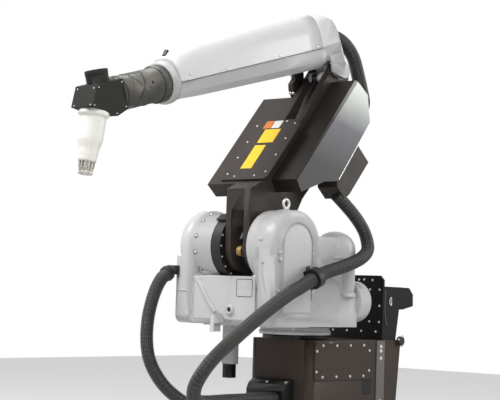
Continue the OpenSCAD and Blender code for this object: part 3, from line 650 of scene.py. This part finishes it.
# %% The node tree for screw heads
def screw_tree():
    tree, given = open_tree("screw_heads", {
        "Places": "Geometry", "Sides": "Int", "Dome": "Float", "Finish": "Material"}, "Screws")
    facing = put(tree, "GeometryNodeInputNamedAttribute", {"Name": "facing"}, data_type="FLOAT_VECTOR")
    size = put(tree, "GeometryNodeInputNamedAttribute", {"Name": "radius"}, data_type="FLOAT")
    washer = put(tree, "GeometryNodeMeshCone", {
        "Vertices": 18, "Radius Top": 1.22, "Radius Bottom": 1.32, "Depth": 0.22})
    head = put(tree, "GeometryNodeMeshCone", {
        "Vertices": given["Sides"], "Radius Top": given["Dome"], "Radius Bottom": 1.0, "Depth": 0.62})
    raised = put(tree, "GeometryNodeTransform", {"Geometry": head, "Translation": (0, 0, 0.2)})
    both = put(tree, "GeometryNodeJoinGeometry")
    tree.links.new(washer.outputs["Mesh"], both.inputs["Geometry"])
    tree.links.new(raised.outputs["Geometry"], both.inputs["Geometry"])
    aimed = put(tree, "FunctionNodeAlignRotationToVector", {"Vector": facing.outputs["Attribute"]}, axis="Z")
    heads = put(tree, "GeometryNodeInstanceOnPoints", {
        "Points": given["Places"], "Instance": both, "Rotation": aimed.outputs["Rotation"],
        "Scale": size.outputs["Attribute"]})
    return close_tree(tree, given, heads, "Screws")


screws_tree = screw_tree()
screw_places = {}


def screws(body, frame, places, facing, radius_mm, finish=zinc_plate):
    """Notes screws for later: places and the facing direction are in that frame, in millimetres."""
    turned = (frame.to_3x3() @ Vector(facing)).normalized()
    for place in places:
        screw_places.setdefault((body, finish.name), []).append((frame @ Vector(place), turned, radius_mm))


def circle_of(middle, radius, count, axis, first=0.0):
    """Places on a circle about the world axis 'Y' or 'Z'."""
    places = []
    for k in range(count):
        angle = math.radians(first + 360 * k / count)
        a, b = math.cos(angle) * radius, math.sin(angle) * radius
        offset = Vector((a, 0, b)) if axis == "Y" else Vector((a, b, 0))
        places.append(Vector(middle) + offset)
    return places


def row(start, end, count):
    """Evenly spaced places from start to end."""
    return [Vector(start).lerp(Vector(end), k / (count - 1)) for k in range(count)]


# %% [markdown]
# Small plates, pads, ribs and brackets are flat outlines with a thickness. One helper makes
# such a piece from a list of corners, closes it and gives it a fine chamfer, since no real
# edge is sharp.

# %% Helpers for flat and turned pieces
def settle(shaped, mesh):
    """Writes a bmesh into a mesh, with its faces outwards."""
    bmesh.ops.recalc_face_normals(shaped, faces=shaped.faces)
    shaped.to_mesh(mesh)
    shaped.free()
    return mesh


def slab(name, body, finish, frame, outline, low, high, plane="XZ", chamfer_mm=1.5):
    """A closed plate: its outline lies in that plane of the frame, its thickness from low to high."""
    def corner(a, b, depth):
        return {"XZ": (a, depth, b), "YZ": (depth, a, b), "XY": (a, b, depth)}[plane]

    count = len(outline)
    mesh = bpy.data.meshes.new(name)
    mesh.from_pydata(
        [frame @ Vector(corner(a, b, depth)) * MM for depth in (low, high) for a, b in outline], [],
        [tuple(range(count)), tuple(range(2 * count - 1, count - 1, -1)),
         *[(k, count + k, count + (k + 1) % count, (k + 1) % count) for k in range(count)]])
    shaped = bmesh.new()
    shaped.from_mesh(mesh)
    if chamfer_mm:
        bmesh.ops.bevel(shaped, geom=shaped.edges[:], offset=chamfer_mm * MM, segments=1, affect="EDGES",
                        clamp_overlap=True)
    return stand(name, settle(shaped, mesh), finish, body)


LATHE_SHARP_DEG = 35


def full_turn(steps):
    return [math.tau * k / steps for k in range(steps)]


def turned_piece(name, body, finish, frame, profile, sides=40, close=True):
    """A lathe piece: profile points are (radius, height) in millimetres about the frame's Z axis.

    A closed one gets flat ends. An open one is a ring, whose profile goes all round its section.
    """
    shaped = bmesh.new()
    rings = [[shaped.verts.new(frame @ Vector((radius * math.cos(a), radius * math.sin(a), height)) * MM)
              for a in full_turn(sides)] for radius, height in profile]
    for low, high in zip(rings, rings[1:] if close else rings[1:] + rings[:1]):
        for k in range(sides):
            shaped.faces.new((low[k], low[(k + 1) % sides], high[(k + 1) % sides], high[k]))
    if close:
        shaped.faces.new(reversed(rings[0]))
        shaped.faces.new(rings[-1])
    mesh = settle(shaped, bpy.data.meshes.new(name))
    mesh.shade_smooth()
    mesh.set_sharp_from_angle(angle=math.radians(LATHE_SHARP_DEG))
    return stand(name, mesh, finish, body)

# %% [markdown]
# ## Pedestal
#
# The pedestal is welded plate. Its access cover, its rear strip and the backing plate of the
# shoulder are held by button-head screws, which are bright dots on the dark paint.

# %% Pedestal screws, strip and the slot's painted shade
SIDE_Y = 230
COVER_Y = SIDE_Y + 6
TAIL_Y = 232

STRIP = [(-558, 32), (-480, 32), (-480, 632), (-558, 632)]

cover_screws = [place for z in (606, 428) for place in row((-352, COVER_Y, z), (27, COVER_Y, z), 4)]
cover_screws += [(x, COVER_Y, z) for x in (-406, 82) for z in (459, 575)]
screws("base", BASE, cover_screws, (0, 1, 0), 6.5)

slab("rear_strip", "base", strip_steel, BASE, STRIP, TAIL_Y, TAIL_Y + 3)
screws("base", BASE, [(-518, TAIL_Y + 3, z) for z in (597, 571, 528, 276, 152, 84)], (0, 1, 0), 9)
screws("base", BASE, [(-55, SIDE_Y, 622), (-40, SIDE_Y, 622)], (0, 1, 0), 3.5)
slab("rear_strip_left", "base", strip_steel, BASE, STRIP, -TAIL_Y - 3, -TAIL_Y)
screws("base", BASE, [(-518, -TAIL_Y - 3, z) for z in (597, 528, 276, 84)], (0, -1, 0), 9)

# A near-black sheet on the side is painted shade where the slot is.
slab("slot_recess", "base", shade_and_seam_black, BASE, [(-438, 318), (-352, 318), (-352, 416), (-438, 416)],
     SIDE_Y - 1, SIDE_Y + 0.6, chamfer_mm=0)
screws("base", BASE, [(x, y, 30) for x in (-620, 168) for y in (-268, 268)], (0, 0, 1), 17)

# %% [markdown]
# The backing plate is bolted along its edge. The cheeks behind it are folded, and a pale rod
# along the bend is a painted highlight of the fold. A snap hook hangs in the oval hole of the near cheek.

# %% Backing plate and cheeks
PLATE_X = -530
plate_screws = [(134, 742), (134, 837), (134, 933), (88, 992)]
plate_screws += [(y, 742 + 95.5 * k) for y in (206, -206) for k in range(3)]
plate_screws += [(y, 683) for y in (-140, -32, 76, 184)] + [(y, 990) for y in (-150, -50, 50, 150)]
screws("base", BASE, [(PLATE_X, y, z) for y, z in plate_screws], (1, 0, 0), 6)
screws("base", BASE, [(-702, 252, 600), (-675, 250, 640), (-704, 252, 660)], (0, 1, 0), 6)


def bent_rod(name, body, finish, points_mm, radius_mm, sides=12, closed=False):
    """A round rod through points, in millimetres."""
    curve = bpy.data.curves.new(name + "_path", "CURVE")
    curve.dimensions = "3D"
    curve.bevel_depth = radius_mm * MM
    curve.bevel_resolution = max(1, sides // 4 - 1)
    curve.use_fill_caps = not closed
    spline = curve.splines.new("POLY")
    route = [Vector(p) for p in points_mm] if closed else smooth_route([Vector(p) for p in points_mm], 5)
    spline.points.add(len(route) - 1)
    for knot, place in zip(spline.points, route):
        knot.co = (*(place * MM), 1)
    spline.use_cyclic_u = closed
    holder = stand(name + "_path", curve)
    mesh = bpy.data.meshes.new_from_object(holder.evaluated_get(bpy.context.evaluated_depsgraph_get()))
    bpy.data.objects.remove(holder)
    mesh.name = name
    mesh.shade_smooth()
    return stand(name, mesh, finish, body)


HOOK = Vector((-606, 225, 866))
bent_rod("snap_hook", "base", zinc_plate,
         [HOOK + Vector((9 * math.sin(a), 9 + 9 * math.cos(a * 2) * 0.2, 24 * math.cos(a)))
          for a in full_turn(20)], 3.2, closed=True)

# %% [markdown]
# ## Shoulder castings
#
# Flange screws sit round both shoulder drives. Raised bosses and ribs on the castings carry
# them. A boss is a lathe piece, because every one is round.

# %% Screws of the left drive
screws("shoulder", BASE, circle_of((400, -70, 1150), 176, 18, "Y", first=0), (0, 1, 0), 4.5)
screws("shoulder", BASE, circle_of((400, -380, 1150), 130, 8, "Y", first=22.5), (0, -1, 0), 8)
print("screws noted so far:", sum(len(v) for v in screw_places.values()))

# %% Right ear: full rim on its inner side, bosses and cover screws
CASTING = ("shoulder", casting_enamel)
AXLE = Matrix.Translation(SHOULDER) @ turn(-90, "X")
turned_piece("right_ear_rim", *CASTING, AXLE, [
    (140, 132), (188, 132), (198, 135), (203, 142), (204, 156), (204, 200), (200, 204), (140, 204)],
    sides=96, close=False)
EAR_FACE = 333
COVER_FACE = EAR_FACE + 14


def boss(name, body, frame, place, axis, radius, height, finish=casting_enamel):
    """A low round boss with a soft shoulder."""
    turned_piece(name, body, finish, frame @ facing_frame(place, axis), [
        (radius + 5, -3), (radius + 3, 0), (radius, 2), (radius, height - 2), (radius - 2, height)], sides=28)


rim_direction = direction(11)
rim_place = SHOULDER + Vector((0, 243, 0)) + rim_direction * 203
boss("right_ear_side_boss", "shoulder", BASE, rim_place, rim_direction, 14, 5)
screws("shoulder", BASE, [rim_place + rim_direction * 5], rim_direction, 7)
for index, (x, z) in enumerate([(550, 1118), (550, 908), (272, 1118), (272, 908)]):
    boss("cover_boss_%d" % index, "shoulder", BASE, (x, EAR_FACE, z), (0, 1, 0), 13, 12)
    screws("shoulder", BASE, [(x, EAR_FACE + 12, z)], (0, 1, 0), 6)


def arch(radius, foot, steps=28):
    """The cover's outline, round at the top and straight down to the foot, as (x, z) corners."""
    x, z = 412, 1155
    angles = [math.pi * k / steps for k in range(steps + 1)]
    top = [(x + radius * math.cos(a), z + radius * math.sin(a)) for a in angles]
    return [(x + radius, foot)] + top + [(x - radius, foot)]


slab("cover_inner_step", *CASTING, BASE, arch(120, 790), COVER_FACE - 1, COVER_FACE + 5,
     chamfer_mm=3)

# %% [markdown]
# The web between the ears has a drain boss with a dark hole. Two rings of screws hold the
# turntable to the slewing bearing.

# %% Drain hole, turntable screws and motor seams
drain = Matrix.Translation((508, -52, 796)) @ turn(90, "Y")
turned_piece("drain_boss", *CASTING, drain, [
    (30, -6), (30, 4), (26, 10), (17, 11), (13.5, 9), (13.5, -6)], sides=36, close=False)
turned_piece("drain_shadow", "shoulder", shade_and_seam_black, drain, [(13, -4), (13, 4)], sides=24)

TABLE_Z = 662
screws("shoulder", BASE, circle_of((0, 0, TABLE_Z + 44), 184, 24, "Z", first=7.5), (0, 0, 1), 7)
turned_piece("turntable_rim", *CASTING, Matrix.Translation((0, 0, TABLE_Z)), [
    (196, 1), (206, 1), (208, 4), (208, 16), (204, 20), (196, 20)], sides=96, close=False)
screws("shoulder", BASE, circle_of((0, 0, TABLE_Z + 20), 203, 36, "Z", first=4), (0, 0, 1), 5)

MOTOR = Matrix.Translation((-60, 232, 0))
turned_piece("upper_motor_flange", *CASTING, MOTOR, [
    (112, 1096), (124, 1097), (126, 1100), (126, 1112), (124, 1115), (112, 1116)], sides=72, close=False)
FLAT_MOTOR = Matrix.Translation((-150, 232, 859)) @ turn(-90, "Y")
turned_piece("lower_motor_flange", *CASTING, FLAT_MOTOR, [
    (110, 2), (125, 3), (127, 6), (127, 18), (125, 21), (110, 22)], sides=72, close=False)
screws("shoulder", FLAT_MOTOR, circle_of((0, 0, 156), 60, 6, "Z", first=30), (0, 0, 1), 5)

# %% [markdown]
# ## Valve boxes
#
# The front cover is held by eleven screws and carries four blank plates. A bright strip
# closes the seam at the back of the right box.

# %% Front cover screws and blank plates
COVER_X = 275.3 + 12
front_screws = [(-193, 694), (-186, 560), (-182, 431), (-179, 299), (-114, 277), (34, 279), (100, 310),
                (98, 444), (92, 576), (90, 700), (19, 722)]
screws("lower_arm", BOXES, [(COVER_X, y, z) for y, z in front_screws], (1, 0, 0), 5)

for name, finish, y0, y1, z0, z1 in [
        ("white", white_vinyl, -72, -10, 668, 729), ("orange", orange_vinyl, -135, -74, 668, 729),
        ("upper", yellow_vinyl, -108, 11, 548, 659), ("lower", yellow_vinyl, -108, -25, 339, 528)]:
    slab("blank_plate_" + name, "lower_arm", finish, BOXES, [(y0, z0), (y1, z0), (y1, z1), (y0, z1)],
         COVER_X - 0.1, COVER_X + 1, plane="YZ", chamfer_mm=0.4)

slab("box_seam_strip", "lower_arm", zinc_plate, BOXES, [(-39, 560), (-33, 560), (-20, 845), (-26, 845)],
     294, 301, chamfer_mm=1)
# Three pin heads on the cover's side, only 0.1 mm in radius.
screws("lower_arm", BOXES, [(x, 300, z) for x, z in ((60, 478), (-18, 556), (215, 1066))], (0, 1, 0), 0.1)
for x in (150, 250):
    screws("lower_arm", BOXES, row((x, -300, 270), (x, -300, 900), 5), (0, -1, 0), 5)

# %% [markdown]
# ## Upper arm and head
#
# The hood is held by screws along its lower edge, with a black clip at its nose.
# The head's side covers have small white screws.

# %% Hood, elbow and head screws
hood_screws = [(1278, 128, 214), (1000, 149, 196), (560, 150, 197), (215, 149, 196)]
for side in (1, -1):
    screws("upper_arm", ARM, [(x, side * y, z) for x, y, z in hood_screws], (0, side, 0), 5.5)
slab("nose_clip", "upper_arm", black_chromate, ARM, [(1302, 350), (1330, 322), (1340, 332), (1312, 360)],
     -2, 26, chamfer_mm=3)
hood_edge = [(172, 149.6), (400, 149.6), (579, 149.6), (860, 142.6), (1151, 135.6), (1273, 127.6),
             (1321, 119.6), (1345, 109)]
for side, side_name in ((1, "right"), (-1, "left")):
    bent_rod("hood_seam_" + side_name, "upper_arm", shade_and_seam_black,
             [ARM @ Vector((x, side * y, 182)) for x, y in hood_edge], 1.6, sides=8)

# Along the wrist: its start, the slanted seam, the end of the bend and the head.
WRIST_X = 1392.5
SEAM_X = WRIST_X + 210
BEND_END_X = SEAM_X + 122
HEAD_X = BEND_END_X + 0.5
head_side = [(12, 62), (12, -66), (82, -88), (226, -20), (176, 62)]
for side in (1, -1):
    screws("head", WRIST, [(HEAD_X + x, side * 80, z) for x, z in head_side], (0, side, 0), 3.2, acetal)
screws("head", WRIST, [(HEAD_X + x, y, z) for x, z in ((236, -14), (192, 62)) for y in (-60, 60)],
       (97, 0, 56), 3.2, acetal)
turned_piece("chimney_rim", "head", charcoal_nylon, WRIST @ Matrix.Translation((BEND_END_X + 102, 0, 0)), [
    (52.5, 120), (59.6, 120), (60.2, 122), (60.2, 140), (59, 142.5), (53, 142.5)], sides=60, close=False)

# %% [markdown]
# ## Wrist and bell cup
#
# The hollow wrist turns on slanted joints. Rings lie along those slants, and a slanted one is
# an ellipse: its place along the wrist changes with its height. The cup at the tip is fluted,
# with painted shade in the grooves of its flutes.

# %% Slanted rings of the wrist
SLANT = math.tan(math.radians(32))
for name, body, x, slope, radius, thick, finish in [
        ("ring_a", "wrist_roll", SEAM_X - 9, SLANT, 92, 3, olive_anodised),
        *[("rib_%d" % k, "wrist_roll", SEAM_X - 38 - 12 * k, SLANT * 0.9, 91.2, 1.6, olive_anodised)
          for k in range(3)],
        ("ring_c", "wrist_bend", SEAM_X + 70, -0.30, 91.6, 2.6, olive_anodised),
        ("ring_d", "wrist_bend", SEAM_X + 114, 0.0, 91.6, 3, charcoal_nylon),
        ("disc_ring", "wrist_roll", WRIST_X + 46, 0.0, 93, 3, black_chromate)]:
    bent_rod("wrist_" + name, body, finish, [
        WRIST @ Vector((x + slope * radius * math.sin(a), radius * math.cos(a), radius * math.sin(a)))
        for a in full_turn(64)], thick, sides=8, closed=True)
boss("wrist_knob", "wrist_roll", WRIST, (SEAM_X - 75, 88, 25), (0, 0.96, 0.27), 6, 7, black_chromate)

# %% Fluted bell cup
GUN = WRIST @ Matrix.Translation((BEND_END_X + 167, 0, -70)) @ turn(90 + 65.6, "Y")


def fluted_cup():
    sides = 156
    shaped = bmesh.new()
    rings, notches = [], []
    for radius, height, depth, flutes in [
            (43, 250.8, 0, 13), (43, 252, 0, 13), (42.5, 252, 11, 13), (41, 279, 11, 13), (41, 281, 0, 13),
            (38.5, 283, 0, 26), (38.2, 285, 5, 26), (37, 301, 5, 26), (37.5, 303, 0, 26), (37, 312, 0, 26),
            (33, 314.5, 0, 26), (25, 314.5, 0, 26), (10, 286, 0, 26)]:
        ring = []
        step = sides // flutes
        notches.append((depth, step))
        for k, a in enumerate(full_turn(sides)):
            r = radius - (depth if k % step >= step // 2 else 0)
            ring.append(shaped.verts.new(GUN @ Vector((r * math.cos(a), r * math.sin(a), height)) * MM))
        rings.append(ring)
    for row_index, (low, high) in enumerate(zip(rings, rings[1:])):
        (depth, step), above = notches[row_index], notches[row_index + 1][0]
        for k in range(sides):
            face = shaped.faces.new((low[k], low[(k + 1) % sides], high[(k + 1) % sides], high[k]))
            # Faces deep in the flutes get the near-black coat: painted shade in the grooves.
            deep = depth and above and k % step >= step // 2 and (k + 1) % step
            face.material_index = 1 if deep else (2 if row_index < 4 else 0)
    shaped.faces.new(reversed(rings[0]))
    shaped.faces.new(rings[-1])
    mesh = settle(shaped, bpy.data.meshes.new("bell_cup_fluted"))
    thing = stand("bell_cup_fluted", mesh, turned_stainless, "bell")
    mesh.materials.append(shade_and_seam_black)
    mesh.materials.append(acetal)
    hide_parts("bell_cup")
    return thing


print("bell cup:", len(fluted_cup().data.polygons), "faces")

# %% Brass bush of the rod's lower eye
CRANK_PIN = SHOULDER + 110 * direction(-14.3)
turned_piece("rod_bush", "rod", dull_brass, Matrix.Translation(CRANK_PIN) @ turn(-90, "X"),
             [(16.2, 5.5), (29, 5.5), (30, 6.5), (30, 38.5), (29, 39.5), (16.2, 39.5)], sides=48, close=False)

# %% [markdown]
# ## Ribs and seams of the castings
#
# A casting is stiffened by ribs, and its covers leave a double line round their rim. The web
# between the ears is closed by a plate with a rounded panel.

# %% Web plate, panel line and ribs
slab("web_front_face", *CASTING, BASE,
     [(-56, 738), (131, 738), (131, 985), (-56, 985)], 490, 505.5, plane="YZ", chamfer_mm=0.4)
# The left part of the web's front runs back at a slant. X of this frame lies along that slant.
SLOPE = Matrix(((0.3584, 0.9336, 0, 504), (-0.9336, 0.3584, 0, -51), (0, 0, 1, 0), (0, 0, 0, 1)))
slab("web_slope_face", *CASTING, SLOPE,
     [(-2, 740), (222, 740), (222, 980), (100, 986), (-2, 985)], -14, 0.8, chamfer_mm=0.4)


PANEL_CORNER = 12
panel_line = []
for y, z, start in ((96, 956, 0), (4, 956, 90), (4, 883, 180), (96, 883, 270)):
    for k in range(6):
        angle = math.radians(start + 90 * k / 5)
        panel_line.append((505.6, y + PANEL_CORNER * math.cos(angle), z + PANEL_CORNER * math.sin(angle)))
bent_rod("web_panel_line", "shoulder", charcoal_nylon, panel_line, 1.7, sides=8, closed=True)
bent_rod("left_diagonal_rib", *CASTING, [
    (574, -262, 976), (567, -226, 930), (561, -196, 879), (550, -165, 826), (537, -136, 780)], 13, sides=20)
bent_rod("left_ledge", *CASTING,
         [(600, -374, 896), (603, -350, 898), (602, -300, 897), (590, -276, 896)], 6, sides=16)
bent_rod("left_lower_rib", *CASTING,
         [(586, -270, 880), (587, -270, 840), (586, -268, 780)], 6)

# %% Counterbored screws of the left drive
# A dark ring round each screw head is painted shade in its counterbore.
for index, angle in enumerate((70, 48, 17, -11, -43, 92, 114)):
    away = direction(angle)
    seat = SHOULDER + Vector((0, -256, 0)) + away * 189.6
    turned_piece("drive_pocket_%d" % index, "shoulder", charcoal_nylon, facing_frame(seat, away),
                 [(8.5, -1), (13, -1), (13, 1.2), (8.5, 1.2)], sides=28, close=False)
    screws("shoulder", BASE, [seat + away * 0.8], away, 7.5)

# %% Rim line of the round cover, edge line with its bosses
bent_rod("cover_rim_line", *CASTING,
         [(a, 347.6, b) for a, b in arch(131, 860)], 3.4)
bent_rod("cover_edge_line", *CASTING,
         [(550, 347.2, 1082), (550, 347.2, 990), (550, 347.2, 880)], 3.6)
for index, height in enumerate((1080, 876)):
    boss("cover_edge_boss_%d" % index, "shoulder", BASE, (550, 346, height), (0, 1, 0), 10, 6)
    screws("shoulder", BASE, [(550, 351.5, height)], (0, 1, 0), 5)
boss("right_leg_boss", "shoulder", BASE, (604, 262, 1064), (1, 0, 0), 11, 4)
screws("shoulder", BASE, [(607.6, 262, 1064)], (1, 0, 0), 5.5)
bent_rod("right_leg_rib", *CASTING,
         [(602, 258, 1050), (603, 262, 1000), (602, 290, 900), (600, 300, 860)], 5)

# %% White lever beside the rod and the black tab on the left drive
slab("crank_lever", "crank_arm", casting_enamel, BASE,
     [(480, 1193), (478, 1204), (432, 1270), (424, 1266), (424, 1190)], -19, -12)
tab_out = direction(55)
tab_along = Vector((-tab_out.z, 0, tab_out.x))
tab_corners = [SHOULDER + tab_out * r + tab_along * t
               for r, t in ((190, -26), (203, -26), (203, 26), (190, 26))]
slab("gear_case_tab", "shoulder", black_chromate, BASE, [(c.x, c.z) for c in tab_corners], -150, -72)

# %% [markdown]
# The service motor under the web is a grey box with a black plug. It is part of the web's CAD
# node, so its faces get their own finish by their place.

# %% Service motor
web = bpy.data.objects["shoulder_web_coated"].data
web.materials.append(beam_enamel)
web.materials.append(black_chromate)
MOTOR_TOP, PLUG_TOP = 705, 492
motor_faces = 0
for polygon in web.polygons:
    x, y, z = (c / MM for c in polygon.center)
    if 396 < x < 464 and -148 < y < -70 and z < MOTOR_TOP:
        polygon.material_index = 2 if z < PLUG_TOP else 1
        motor_faces += 1
print("service motor:", motor_faces, "faces")

# %% Elbow bracket foot with its bolts and blank plate
slab("bracket_foot", "upper_arm", black_powder, ARM,
     [(118, 0), (180, 24), (220, -6), (226, -40), (206, -112), (172, -118), (130, -60)], -112, -73)
screws("upper_arm", ARM, [(219.5, -103, -62), (219.5, -82, -62)], (0.96, 0, -0.27), 9)
slab("bracket_plate", "upper_arm", white_vinyl, ARM, [(-104, 30), (-92, 30), (-92, 62), (-104, 62)],
     197, 198, plane="YZ", chamfer_mm=0.2)

# %% Painted highlight on the fold of the near cheek, knob bolts, hose hood bolts
# A grey rod along the bend of the near cheek is a painted highlight of the fold.
bent_rod("cheek_fold", "base", strip_steel,
         [(-538, 244.2, 930), (-538, 244.2, 800), (-560, 244.2, 720)], 2.2, sides=8)
screws("base", BASE, [(-690, 252.5, 613), (-684, 248, 640)], (0, 1, 0), 9, black_chromate)
screws("base", BASE, [(184, -42, 391), (180, 97, 393.5)], (0.58, 0, 0.82), 7)
slab("stop_face", "shoulder", zinc_plate, BASE, [(-127, 668), (-100, 668), (-100, 764), (-127, 764)],
     584, 585, plane="YZ", chamfer_mm=0.3)

# %% [markdown]
# ## All screws
#
# Every screw place is known now. For each body and finish, the tree turns the list into one
# mesh, so that the screws of the shoulder turn with the shoulder.

# %% Make the screws of each body
for (body, finish_name), places in screw_places.items():
    points = bpy.data.meshes.new("screw_points")
    points.from_pydata([place * MM for place, facing, radius in places], [], [])
    points.attributes.new("facing", "FLOAT_VECTOR", "POINT").data.foreach_set(
        "vector", [value for place, facing, radius in places for value in facing])
    points.attributes.new("radius", "FLOAT", "POINT").data.foreach_set(
        "value", [radius * MM for place, facing, radius in places])
    made = run_tree("screws_%s_%s" % (body, finish_name[:8]), points, screws_tree, {
        "Sides": 10, "Dome": 0.72, "Finish": bpy.data.materials[finish_name]})
    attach(made, body)
    print(made.name, len(places), "screws")
